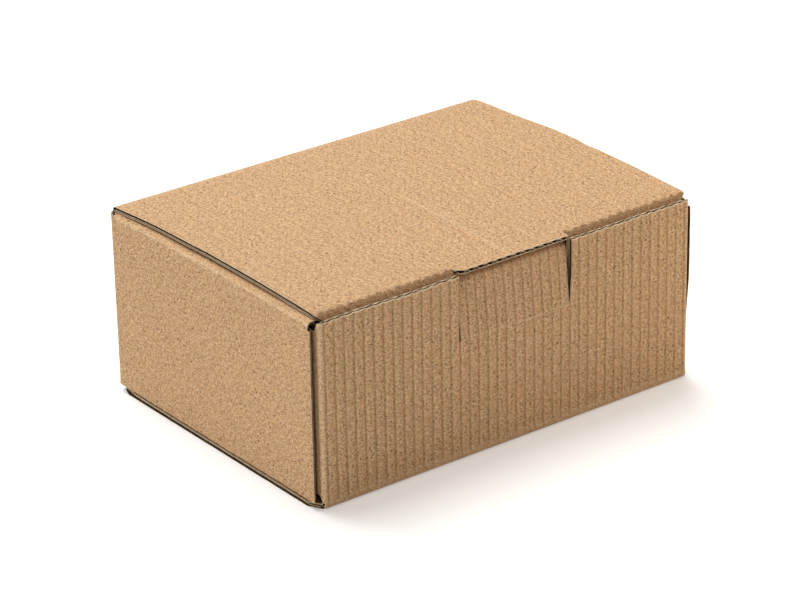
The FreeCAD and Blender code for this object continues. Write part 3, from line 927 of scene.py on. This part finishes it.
@dataclass
class Lid(BoxPart):
    """Lid hinged to the back wall, with its lip, its front fold and the tuck flap inside."""

    crease_depth: float = 0.35
    crease_place: float = 1.0
    crease_start: float = 0.46
    scallop_depth: float = 1.0
    corner_width: float = 242.0
    dent: float = 0.45
    bump: float = 0.42
    back_bump: float = 0.9
    rag: float = 0.12
    lip_rag: float = 0.2
    lip_corner: float = 3.0
    lip_droop: float = 0.35

    @property
    def tuck_plane(self) -> float:
        """Place of the front of the lid's front fold."""
        return self.sizes.front + self.board.thickness + self.sizes.layer_gap

    @property
    def length(self) -> float:
        """Distance between the lid's two folds."""
        return self.sizes.back - self.sizes.hinge_fold - self.tuck_plane - self.sizes.lid_fold

    @property
    def hinge(self) -> float:
        """Length of the hinge fold."""
        return self.sizes.hinge_fold * math.pi / 2

    @property
    def fold_start(self) -> float:
        """Where the front fold starts along the sheet."""
        return self.hinge + self.length

    @property
    def turn(self) -> float:
        """Length of the front fold."""
        return math.radians(90 + self.sizes.tuck_lean) * self.sizes.lid_fold

    @property
    def slot(self) -> tuple[float, float]:
        """Left and right edge of the slot for the lock tab."""
        left, right = self.sizes.tab_edges
        return left - self.sizes.window_gap, right + self.sizes.window_gap

    def lift(self, across: Places, run: Places) -> Places:
        """Give how far the lid bulges up at a distance from its hinge fold."""
        share = np.clip(run / self.length, 0.0, 1.0)
        bow = self.sizes.lid_crown * (1 - (2 * share - 1) ** 2)
        right = smooth((across + 60) / 160)
        dent = self.dent * np.exp(-((run - 0.55 * self.length) / 7.0) ** 2) * smooth((across - 60) / 60)
        bump = self.bump * np.exp(-((run - 0.4 * self.length) / 14.0) ** 2) * right
        back = self.back_bump * np.exp(-(run / 26.0) ** 2) * smooth(run / 8.0) * right
        return np.where((run > 0) & (run < self.length), bow - dent + bump + back, 0.0)

    def wide(self, across: Places, along: Places) -> Places:
        """Narrow the sheet at its hinge and from the front fold on, and jog its edges."""
        sizes = self.sizes
        run = along - self.hinge
        left = sizes.lid_left - 1.2 * smooth(1 - run / 40.0) + 0.35 * smooth((run - 78.0) / 3.0)
        right = sizes.lid_right - 3.2 * smooth(1 - run / 100.0) - 0.5 * smooth((run - 96.0) / 4.0)
        corner = smooth((along - self.fold_start - 2.0) / 8.0)
        tuck = smooth((along - self.fold_start - self.turn) / 9.0)
        for share, half in ((corner, self.corner_width / 2), (tuck, sizes.tuck_width / 2)):
            left = left + share * (-half - left)
            right = right + share * (half - right)
        slot_left, slot_right = self.slot
        on_left = np.clip((slot_left - across) / (slot_left - sizes.lid_left), 0, 1) ** 2
        on_right = np.clip((across - slot_right) / (sizes.lid_right - slot_right), 0, 1) ** 2
        return across + on_left * (left - sizes.lid_left) + on_right * (right - sizes.lid_right)

    def scallop(self, across: Places) -> Places:
        """Give how far each flute is crushed at the front fold."""
        shifted = self.board.phase(across) + 0.1
        return 0.5 - 0.5 * np.cos(2 * math.pi * shifted)

    def crush(self, across: Places, along: Places) -> Places:
        """Give the mask of the front fold's darkening: crushed flutes, and painted shade where the fold
        faces away from the lamps.
        """
        begin = 2.0 - 1.8 * self.scallop(across) + 0.7 * flat_noise(across, across * 0, 5.0)
        past = along - self.fold_start
        return smooth((past - begin) / 1.4) * smooth((self.turn + 4.0 - past) / 3.0)

    def pressed(self, run: Places) -> Places:
        """Give how strongly the pressed line shows at a distance from the hinge fold."""
        return smooth((run - self.crease_start * self.length) / 12.0)

    def dressed(self, across: Places, along: Places, depth: Places,
                frame: tuple[Places, Places, Places, Places], folded: bool) -> Places:
        """Give the points with crown, pressed crease, crushed flutes and relief.

        Args:
            across: Places across the flutes.
            along: Places along the sheet, from the foot of the hinge.
            depth: Depths below the outer face.
            frame: Points and outward directions in the plane of the folds.
            folded: Whether the sheet goes round the front fold, or straight on as the lip.

        Returns:
            Points in space.
        """
        board = self.board
        one, two, out_one, out_two = frame
        wide = self.wide(across, along) if folded else across
        run = along - self.hinge
        line = np.exp(-((across - self.crease_place) / 1.3) ** 2) * self.pressed(run)
        flat_points = np.stack([wide, one, two], axis=1)
        sink = Relief(board, ridge=0.12, cushion=0.05, sway=0.12).depth(across, along, flat_points)
        sink = sink + self.crease_depth * line * ((run > 0) & (run < self.length))
        if folded:
            share = (along - self.fold_start) / self.turn
            round_part = smooth(1 - np.abs(share - 0.4) / 0.45)
            uneven = 0.6 + 0.4 * NOISE(flat_points * np.array([1.0, 0.3, 0.3]), 7.0)
            sink = sink + round_part * (self.scallop_depth * self.scallop(across) * uneven + 0.1)
        total = board.sunk(depth, sink)
        ragged = self.rag * flat_noise(along, depth * 3, 3.0) - self.rag
        to_edge = np.minimum(across - self.sizes.lid_left, self.sizes.lid_right - across)
        wide = wide + np.sign(across) * ragged * smooth(1 - to_edge / 2.0)
        height = two - out_two * total + self.lift(across, run)
        return np.stack([wide, one - out_one * total, height], axis=1)

    def masks(self, across: Places, along: Places, points: Places) -> dict[str, Places]:
        """Give the wear at the hinge and the pressed crease, and the front fold's crushed flutes with
        painted shade.
        """
        line = np.exp(-((across - self.crease_place - 0.8) / 0.9) ** 2)
        line = line * self.pressed(along - self.hinge) * (along < self.fold_start + 1.0)
        hinge = hat(along - self.hinge * 0.8, 3.0) * 0.35
        return {"fold": np.maximum(hinge, line * 0.4), "crush": self.crush(across, along)}

    def build(self) -> None:
        """Build the lid's three papers and those of its lip."""
        sizes = self.sizes
        fold_end = self.fold_start + self.turn
        lean = math.radians(sizes.tuck_lean)
        fall = sizes.window_foot - sizes.lid_fold * (1 + math.sin(lean))
        window_end = fold_end + fall / math.cos(lean)
        path = FoldedPath(
            start=(sizes.back, sizes.height - sizes.hinge_fold), heading=90.0,
            steps=(Fold(sizes.hinge_fold, 90.0), Run(self.length),
                   Fold(sizes.lid_fold, 90.0 + sizes.tuck_lean), Run(sizes.tuck_length)))
        slot_left, slot_right = self.slot

        def surface(across: Places, along: Places, depth: Places) -> Places:
            """Place the lid in space."""
            return self.dressed(across, along, depth, path.at(along, np.zeros_like(along)), True)

        def keep(across: np.ndarray, along: np.ndarray) -> np.ndarray:
            """Leave out the slot and the window for the lock tab."""
            inside = (across > slot_left) & (across < slot_right)
            return ~(inside & (along > self.fold_start) & (along < window_end))

        rows = merge_places(path.rows(4.5, 0.7), [0.0, self.hinge, self.fold_start, fold_end,
                                                  window_end, fold_end + sizes.tuck_length])
        columns = self.board.columns(
            sizes.lid_left, sizes.lid_right,
            [slot_left, slot_right, sizes.lid_left + 1.2, sizes.lid_right - 1.2])
        BoardPiece(self.board, Grid(columns, rows, keep), surface, self.masks,
                   recess=0.15, groove=0.3).build_into(self.shell)
        self.build_lip(columns[(columns >= slot_left - 1e-6) & (columns <= slot_right + 1e-6)])

    def build_lip(self, columns: Places) -> None:
        """Build the lip, which carries the lid straight on over the lock tab."""
        sizes = self.sizes
        reach = self.tuck_plane + sizes.lid_fold - sizes.front - sizes.lip_setback
        start = self.fold_start

        def surface(across: Places, along: Places, depth: Places) -> Places:
            """Place the lip in space."""
            past = along - start
            zero = np.zeros_like(along)
            frame = (self.tuck_plane + sizes.lid_fold - past, zero + sizes.height, zero, zero + 1.0)
            points = self.dressed(across, zero + start, depth, frame, False)
            edge = smooth((past - reach + 1.5) / 1.5)
            ragged = self.lip_rag * flat_noise(across, depth * 3, 2.3) + self.lip_rag
            rounding = smooth((columns[0] + 5.0 - across) / 5.0) * self.lip_corner
            points[:, 1] += rounding * smooth(past / reach) ** 2
            points[:, 1] += ragged * edge
            points[:, 1] += smooth(depth - 1.8) * edge
            points[:, 2] -= self.lip_droop * smooth(past / reach)
            return points

        def masks(across: Places, along: Places, points: Places) -> dict[str, Places]:
            """Give the wear along the cut edge."""
            edge = smooth((along - start - reach + 0.9) / 0.9) * 0.8
            return {"fold": edge, "crush": np.zeros_like(along)}

        rows = np.array(spread(start, start + reach, 1.2))
        grid = Grid(columns, rows, whole)
        BoardPiece(self.board, grid, surface, masks, groove=0.3).build_into(self.shell)


@dataclass
class LockTab(BoxPart):
    """Lock tab cut from the front wall, with its tip bent in under the lip."""

    crease_gap: float = 0.1

    def build(self) -> None:
        """Build the tab's three papers."""
        sizes = self.sizes
        board = self.board
        lean = math.radians(sizes.tab_lean)
        start = (sizes.front + self.crease_gap * math.tan(lean), sizes.tab_crease + self.crease_gap)
        bend = 90 + sizes.tip_slope - sizes.tab_lean
        path = FoldedPath(
            start=start, heading=90 - sizes.tab_lean,
            steps=(Run(sizes.tab_rise), Fold(sizes.tab_fold, -bend), Run(sizes.tip_length)))
        relief = Relief(board, sway=0.1)
        left, right = sizes.tab_edges
        turn = math.radians(bend) * sizes.tab_fold
        total_length = sizes.tab_rise + turn + sizes.tip_length

        def surface(across: Places, along: Places, depth: Places) -> Places:
            """Place the tab in space."""
            foot = depth * math.tan(lean) * np.clip(1 - along / 6.0, 0, 1)
            one, two, out_one, out_two = path.at(along + foot, np.zeros_like(along))
            flat_points = np.stack([across, one, two], axis=1)
            sink = relief.depth(across, along, flat_points) * smooth(along / 2.0)
            share = (along - sizes.tab_rise) / turn
            round_part = hat(share - 0.4, 0.5)
            scallop = 0.5 - 0.5 * np.cos(2 * math.pi * board.phase(across) + 0.6)
            sink = sink + round_part * (0.4 * scallop + 0.1)
            total = board.sunk(depth, sink)
            return np.stack([across, one - out_one * total, two - out_two * total], axis=1)

        rows = merge_places(path.rows(4.0, 0.7), [0.0, 1.0, 2.0, sizes.tab_rise, total_length])
        columns = board.columns(left, right)

        def masks(across: Places, along: Places, points: Places) -> dict[str, Places]:
            """Give the wear at the crease and the crushed flutes of the tip fold."""
            share = (along - sizes.tab_rise) / turn
            return {"fold": np.clip(1 - along / 0.8, 0, 1) * 0.5,
                    "crush": smooth(1 - np.abs(share - 0.5) / 0.6) * 0.7}

        grid = Grid(columns, rows, whole)
        BoardPiece(board, grid, surface, masks, recess=2.0).build_into(self.shell)


def place_in_scene(name: str, data: bpy.types.ID) -> bpy.types.Object:
    """Add an object with its mesh, lamp or camera data to the scene."""
    item = bpy.data.objects.new(name, data)
    bpy.context.scene.collection.objects.link(item)
    return item


def make_object(name: str, shell: Shell, materials: Sequence[bpy.types.Material]) -> bpy.types.Object:
    """Turn a shell into a mesh object.

    Args:
        name: Name of the object.
        shell: Its vertices, faces and masks.
        materials: Papers of the liners, of the medium and of the cut edges, in this order.

    Returns:
        The new object, in the scene.
    """
    mesh = bpy.data.meshes.new(name)
    points = np.concatenate(shell.points) * MM
    faces = np.concatenate(shell.faces)
    mesh.from_pydata(points.tolist(), [], faces.tolist())
    for material in materials:
        mesh.materials.append(material)
    mesh.polygons.foreach_set("material_index", np.concatenate(shell.kinds).astype(np.int32))
    mesh.polygons.foreach_set("use_smooth", np.ones(len(faces), bool))
    uv_map = mesh.uv_layers.new(name="sheet")
    corners = np.zeros(len(mesh.loops), np.int32)
    mesh.loops.foreach_get("vertex_index", corners)
    sheet = np.concatenate(shell.sheet)[corners] * MM
    uv_map.data.foreach_set("uv", sheet.astype(np.float32).ravel())
    for mask, values in shell.masks.items():
        attribute = mesh.attributes.new(mask, "FLOAT", "POINT")
        attribute.data.foreach_set("value", np.concatenate(values).astype(np.float32))
    mesh.validate()
    mesh.update()
    mesh.set_sharp_from_angle(angle=math.radians(50))
    return place_in_scene(name, mesh)


class NodeTree:
    """Adds nodes to a tree and joins them."""

    def __init__(self, tree: bpy.types.NodeTree) -> None:
        """Keep the tree."""
        self.tree = tree

    def add(self, kind: str, inputs: dict[str | int, object] | None = None,
            **settings: object) -> bpy.types.Node:
        """Add a node.

        Args:
            kind: Its type.
            inputs: A value or another node's output for each input.
            settings: Properties of the node.

        Returns:
            The new node.
        """
        node = self.tree.nodes.new(kind)
        for name, value in settings.items():
            setattr(node, name, value)
        for name, value in (inputs or {}).items():
            if isinstance(value, bpy.types.NodeSocket):
                self.tree.links.new(value, node.inputs[name])
            else:
                node.inputs[name].default_value = value
        return node

    def math(self, operation: str, one: object, two: object = 0.0,
             clamp: bool = False) -> bpy.types.NodeSocket:
        """Add a sum of one or two values."""
        node = self.add("ShaderNodeMath", {0: one, 1: two}, operation=operation, use_clamp=clamp)
        return node.outputs[0]

    def remap(self, value: object, low: float, high: float, new_low: float = 0.0,
              new_high: float = 1.0) -> bpy.types.NodeSocket:
        """Map a value from one range to another, clamped."""
        node = self.add("ShaderNodeMapRange", {"Value": value, "From Min": low, "From Max": high,
                                               "To Min": new_low, "To Max": new_high})
        return node.outputs["Result"]

    def noise(self, place: object, scale: float, detail: float = 2.0,
              roughness: float = 0.5) -> bpy.types.NodeSocket:
        """Add a noise texture and give its value."""
        node = self.add("ShaderNodeTexNoise", {"Vector": place, "Scale": scale, "Detail": detail,
                                               "Roughness": roughness})
        return node.outputs["Fac"]

    def turned(self, place: object, degrees: float, stretch: tuple[float, float, float],
               shift: float = 0.0) -> bpy.types.NodeSocket:
        """Turn a place about the sheet's normal and stretch it."""
        turn = self.add("ShaderNodeVectorRotate", {"Vector": place, "Angle": math.radians(degrees)},
                        rotation_type="Z_AXIS")
        scaled = self.add("ShaderNodeVectorMath", {0: turn.outputs[0], 1: stretch}, operation="MULTIPLY")
        moved = self.add("ShaderNodeVectorMath", {0: scaled.outputs[0], 1: (shift, shift, shift)},
                         operation="ADD")
        return moved.outputs[0]

    def mix(self, share: object, one: object, two: object, blend: str = "MIX") -> bpy.types.NodeSocket:
        """Mix two colours."""
        node = self.add("ShaderNodeMix", data_type="RGBA", blend_type=blend)
        for index, value in ((0, share), (6, one), (7, two)):
            if isinstance(value, bpy.types.NodeSocket):
                self.tree.links.new(value, node.inputs[index])
            else:
                node.inputs[index].default_value = value
        return node.outputs[2]


def linear(red: int, green: int, blue: int) -> tuple[float, float, float, float]:
    """Turn a screen colour into a linear one."""
    shares = [value / 255 for value in (red, green, blue)]
    values = [share / 12.92 if share <= 0.04045 else ((share + 0.055) / 1.055) ** 2.4 for share in shares]
    return values[0], values[1], values[2], 1.0


def pulp_group() -> bpy.types.NodeTree:
    """Build the group of recycled pulp marks: cloudy tone, pale and dark fibres, specks and grain.

    Returns:
        The node group with inputs Place and Sheet.
    """
    group = bpy.data.node_groups.new("pulp marks", "ShaderNodeTree")
    for name in ("Place", "Sheet"):
        group.interface.new_socket(name, in_out="INPUT", socket_type="NodeSocketVector")
    for name in ("Cloud", "Tint", "Pale", "Dark", "Speck", "Grain"):
        group.interface.new_socket(name, in_out="OUTPUT", socket_type="NodeSocketFloat")
    tree = NodeTree(group)
    entry = tree.add("NodeGroupInput")
    place = entry.outputs["Place"]
    sheet = entry.outputs["Sheet"]
    broad = tree.noise(place, 60.0, 3.0, 0.55)
    fine = tree.noise(place, 850.0, 3.0, 0.7)
    cloud = tree.math("ADD", tree.math("MULTIPLY", broad, 0.1), tree.math("MULTIPLY", fine, 0.9))
    tint = tree.noise(tree.turned(place, 20.0, (1.0, 1.0, 1.0), 3.1), 520.0, 3.0, 0.65)
    pale_one = tree.noise(tree.turned(sheet, 38.0, (1.0, 3.6, 1.0)), 640.0, 2.0, 0.5)
    pale_two = tree.noise(tree.turned(sheet, -52.0, (1.0, 4.0, 1.0), 1.7), 590.0, 2.0, 0.5)
    pale = tree.math("MAXIMUM", tree.remap(pale_one, 0.56, 0.68), tree.remap(pale_two, 0.56, 0.68))
    dark_one = tree.noise(tree.turned(sheet, 12.0, (1.0, 5.2, 1.0), 5.3), 520.0, 2.0, 0.5)
    dark_two = tree.noise(tree.turned(sheet, -34.0, (1.0, 5.2, 1.0), 7.9), 480.0, 2.0, 0.5)
    dark = tree.math("MAXIMUM", tree.remap(dark_one, 0.55, 0.64), tree.remap(dark_two, 0.55, 0.64))
    cells = tree.add("ShaderNodeTexVoronoi", {"Vector": tree.turned(sheet, 25.0, (1.0, 1.35, 1.0)),
                                              "Scale": 260.0}, voronoi_dimensions="2D")
    chance = tree.add("ShaderNodeSeparateColor", {"Color": cells.outputs["Color"]})
    small = tree.remap(cells.outputs["Distance"], 0.09, 0.2, 1.0, 0.0)
    rare = tree.remap(chance.outputs["Red"], 0.84, 0.94)
    speck = tree.math("MULTIPLY", small, rare)
    grain = tree.noise(place, 1500.0, 3.0, 0.6)
    tree.add("NodeGroupOutput", {"Cloud": cloud, "Tint": tint, "Pale": pale, "Dark": dark,
                                 "Speck": speck, "Grain": grain})
    return group


@dataclass(frozen=True)
class PaperFinish:
    """Brown recycled paper, with painted shade and painted highlights mixed into its colour."""

    name: str
    base: tuple[int, int, int]
    cool: tuple[int, int, int]
    # Pale tone of wear on the folds, also used as the painted highlight on the flute crests and on the side
    # panels' roll.
    worn: tuple[int, int, int] = (230, 204, 168)
    # Brown of crushed flutes, also used as painted shade in the flute grooves, on the ears and on the lid's
    # front fold.
    crushed: tuple[int, int, int] = (120, 84, 52)
    pale_fibre: tuple[int, int, int] = (240, 222, 192)
    dark_fibre: tuple[int, int, int] = (126, 88, 54)
    speck: tuple[int, int, int] = (62, 41, 24)
    # Near-black painted shade for the surfaces inside the board.
    shadow: tuple[int, int, int] = (34, 22, 13)
    clouding: float = 0.24
    marks: float = 1.0
    # Strength of that painted shade.
    hollow: float = 0.85
    roughness: float = 0.88
    bump: float = 0.2

    def build(self, pulp: bpy.types.NodeTree) -> bpy.types.Material:
        """Build the material.

        Args:
            pulp: Group of the paper's marks.

        Returns:
            The material.
        """
        material = bpy.data.materials.new(self.name)
        material.use_nodes = True
        material.node_tree.nodes.clear()
        tree = NodeTree(material.node_tree)
        place = tree.add("ShaderNodeTexCoord").outputs["Object"]
        sheet = tree.add("ShaderNodeUVMap", uv_map="sheet").outputs["UV"]
        marks = tree.add("ShaderNodeGroup", {"Place": place, "Sheet": sheet}, node_tree=pulp)
        wear = {name: tree.add("ShaderNodeAttribute", attribute_name=name).outputs["Fac"]
                for name in ("fold", "crush", "groove", "crest", "hollow")}
        colour = tree.mix(tree.remap(marks.outputs["Tint"], 0.36, 0.64), linear(*self.base),
                          linear(*self.cool))
        swing = self.clouding * self.marks
        cloudy = tree.remap(marks.outputs["Cloud"], 0.3, 0.7, 1.0 - swing, 1.0 + swing)
        shade = tree.add("ShaderNodeCombineColor", {0: cloudy, 1: cloudy, 2: cloudy})
        colour = tree.mix(1.0, colour, shade.outputs[0], "MULTIPLY")
        uneven = tree.remap(marks.outputs["Cloud"], 0.35, 0.6, 0.35, 1.0)
        # Over the paper's own marks: painted shade in each flute groove and a painted highlight on each lit
        # crest, pale wear on the folds (partly a painted highlight on the side panels' roll), crushed
        # flutes with painted shade, and painted shade inside the board.
        layers = (
            (marks.outputs["Pale"], 0.9 * self.marks, self.pale_fibre),
            (marks.outputs["Dark"], self.marks, self.dark_fibre),
            (marks.outputs["Speck"], 0.9 * self.marks, self.speck),
            (wear["groove"], 0.38, self.crushed),
            (wear["crest"], 0.28, self.worn),
            (wear["fold"], uneven, self.worn),
            (wear["crush"], tree.math("MULTIPLY", uneven, 0.8), self.crushed),
            (wear["hollow"], self.hollow, self.shadow),
        )
        for mask, strength, tone in layers:
            colour = tree.mix(tree.math("MULTIPLY", mask, strength), colour, linear(*tone))
        height = tree.math("ADD", marks.outputs["Grain"], tree.math("MULTIPLY", marks.outputs["Pale"], 0.5))
        bump = tree.add("ShaderNodeBump", {"Strength": self.bump, "Distance": 0.0004, "Height": height})
        shader = tree.add("ShaderNodeBsdfPrincipled", {
            "Base Color": colour, "Roughness": self.roughness, "Normal": bump.outputs["Normal"],
            "Specular IOR Level": 0.22})
        tree.add("ShaderNodeOutputMaterial", {"Surface": shader.outputs[0]})
        return material


@dataclass(frozen=True)
class FloorFinish:
    """Plain white floor, shown bright to the camera so that only the object's shadow is grey."""

    tone: float = 0.93
    glow: float = 0.3

    def build(self) -> bpy.types.Material:
        """Build the material."""
        material = bpy.data.materials.new("white floor")
        material.use_nodes = True
        tree = NodeTree(material.node_tree)
        shader = tree.tree.nodes["Principled BSDF"]
        shader.inputs["Base Color"].default_value = (self.tone, self.tone, self.tone, 1.0)
        shader.inputs["Roughness"].default_value = 0.9
        shader.inputs["Specular IOR Level"].default_value = 0.0
        shader.inputs["Emission Color"].default_value = (1.0, 1.0, 1.0, 1.0)
        ray = tree.add("ShaderNodeLightPath")
        seen = tree.math("ADD", ray.outputs["Is Camera Ray"], ray.outputs["Is Glossy Ray"])
        seen = tree.math("ADD", seen, ray.outputs["Is Transmission Ray"], clamp=True)
        tree.tree.links.new(tree.math("MULTIPLY", seen, self.glow), shader.inputs["Emission Strength"])
        return material


@dataclass(frozen=True)
class Camera:
    """Camera that sees the box as the photograph does, in millimetres and degrees."""

    place: tuple[float, float, float] = (-1068.6, -1420.2, 869.7)
    yaw: float = -36.91
    pitch: float = 24.71
    roll: float = -1.11
    lens: float = 155.74

    def build(self) -> bpy.types.Object:
        """Build the camera and make it the scene's."""
        yaw = math.radians(self.yaw)
        pitch = math.radians(self.pitch)
        roll = math.radians(self.roll)
        back = Vector((math.sin(yaw) * math.cos(pitch), -math.cos(yaw) * math.cos(pitch), math.sin(pitch)))
        right = Vector((math.cos(yaw), math.sin(yaw), 0.0))
        above = back.cross(right)
        side = right * math.cos(roll) + above * math.sin(roll)
        top = above * math.cos(roll) - right * math.sin(roll)
        matrix = Matrix((side, top, back)).transposed().to_4x4()
        matrix.translation = Vector(self.place) * MM
        data = bpy.data.cameras.new("camera")
        data.lens = self.lens
        data.sensor_width = 36.0
        data.clip_end = 50.0
        camera = place_in_scene("camera", data)
        camera.matrix_world = matrix
        bpy.context.scene.camera = camera
        return camera


@dataclass(frozen=True)
class LampPlan:
    """Square lamp that faces the box: its name, place in metres, power, size and colour."""

    name: str
    place: tuple[float, float, float]
    power: float
    size: float
    tint: tuple[float, float, float] = (1.0, 1.0, 1.0)

    def build(self) -> bpy.types.Object:
        """Build the lamp."""
        data = bpy.data.lights.new(self.name, "AREA")
        data.energy = self.power
        data.size = self.size
        data.color = self.tint
        lamp = place_in_scene(self.name, data)
        lamp.location = self.place
        aim = Vector((0.0, 0.0, 0.05)) - Vector(self.place)
        lamp.rotation_euler = aim.to_track_quat("-Z", "Y").to_euler()
        return lamp


@dataclass(frozen=True)
class Studio:
    """White floor, white surround and soft lamps."""

    floor_size: float = 14.0
    ambient: float = 0.15
    surround: tuple[float, float, float, float] = (1.0, 0.98, 0.96, 1.0)
    lamps: tuple[LampPlan, ...] = (
        LampPlan("key lamp", (0.1, 1.15, 2.5), 90.0, 2.2),
        LampPlan("side lamp", (-2.0, -0.38, 0.7), 12.5, 0.4),
        LampPlan("fill lamp", (0.6, -0.48, 0.3), 1.7, 0.3, (1.0, 0.82, 0.6)),
    )

    def build(self) -> list[bpy.types.Object]:
        """Build the floor, the surround and the lamps."""
        half = self.floor_size / 2
        mesh = bpy.data.meshes.new("floor")
        mesh.from_pydata([(-half, -half, 0), (half, -half, 0), (half, half, 0), (-half, half, 0)], [],
                         [(0, 1, 2, 3)])
        mesh.materials.append(FloorFinish().build())
        floor = place_in_scene("floor", mesh)
        world = bpy.data.worlds.new("surround")
        bpy.context.scene.world = world
        world.use_nodes = True
        surround = world.node_tree.nodes["Background"]
        surround.inputs["Color"].default_value = self.surround
        surround.inputs["Strength"].default_value = self.ambient
        lamps = [plan.build() for plan in self.lamps]
        return [floor, *lamps]


def main() -> None:
    """Build the box, the studio and the camera."""
    logging.basicConfig(level=logging.INFO, format="%(message)s")
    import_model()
    sizes = BoxSizes()
    board = Board()
    pulp = pulp_group()
    liner = PaperFinish("kraft liner", base=(216, 174, 125), cool=(205, 160, 116)).build(pulp)
    # The medium's brown is made much darker than the paper itself, as painted shade inside the flutes.
    medium = PaperFinish("fluted medium", base=(72, 49, 30), cool=(60, 41, 25)).build(pulp)
    # The cut edges are made paler than the liner, partly as a painted highlight where the edges catch the
    # light.
    cut = PaperFinish("cut edge", base=(240, 218, 184), cool=(222, 194, 156), marks=0.5,
                      hollow=0.0).build(pulp)
    parts: list[tuple[str, BoxPart, str, str, str]] = [
        ("front_wall", FrontWall(sizes, board), "box", "folded_box", "box_board"),
        ("base", Base(sizes, board), "box", "folded_box", "box_board"),
        ("back_wall", BackWall(sizes, board), "box", "folded_box", "box_board"),
        ("right_side_panel", SidePanel(sizes, board, side=1, front_reach=2.6), "box", "folded_box",
         "box_board"),
        ("left_side_panel", SidePanel(sizes, board, side=-1), "box", "folded_box", "box_board"),
        ("lid", Lid(sizes, board), "box", "folded_box", "box_board"),
        ("lock_tab", LockTab(sizes, board), "tab", "lock_tab", "tab_board"),
    ]
    for name, part, body, node, slot in parts:
        part.build()
        piece = make_object(name, part.shell, (liner, medium, cut))
        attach(piece, body)
        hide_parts(node)
        LOG.info("%s: %d faces", name, len(piece.data.polygons))
    Studio().build()
    Camera().build()
    bpy.context.scene.view_settings.view_transform = "Standard"


if __name__ == "__main__":
    main()
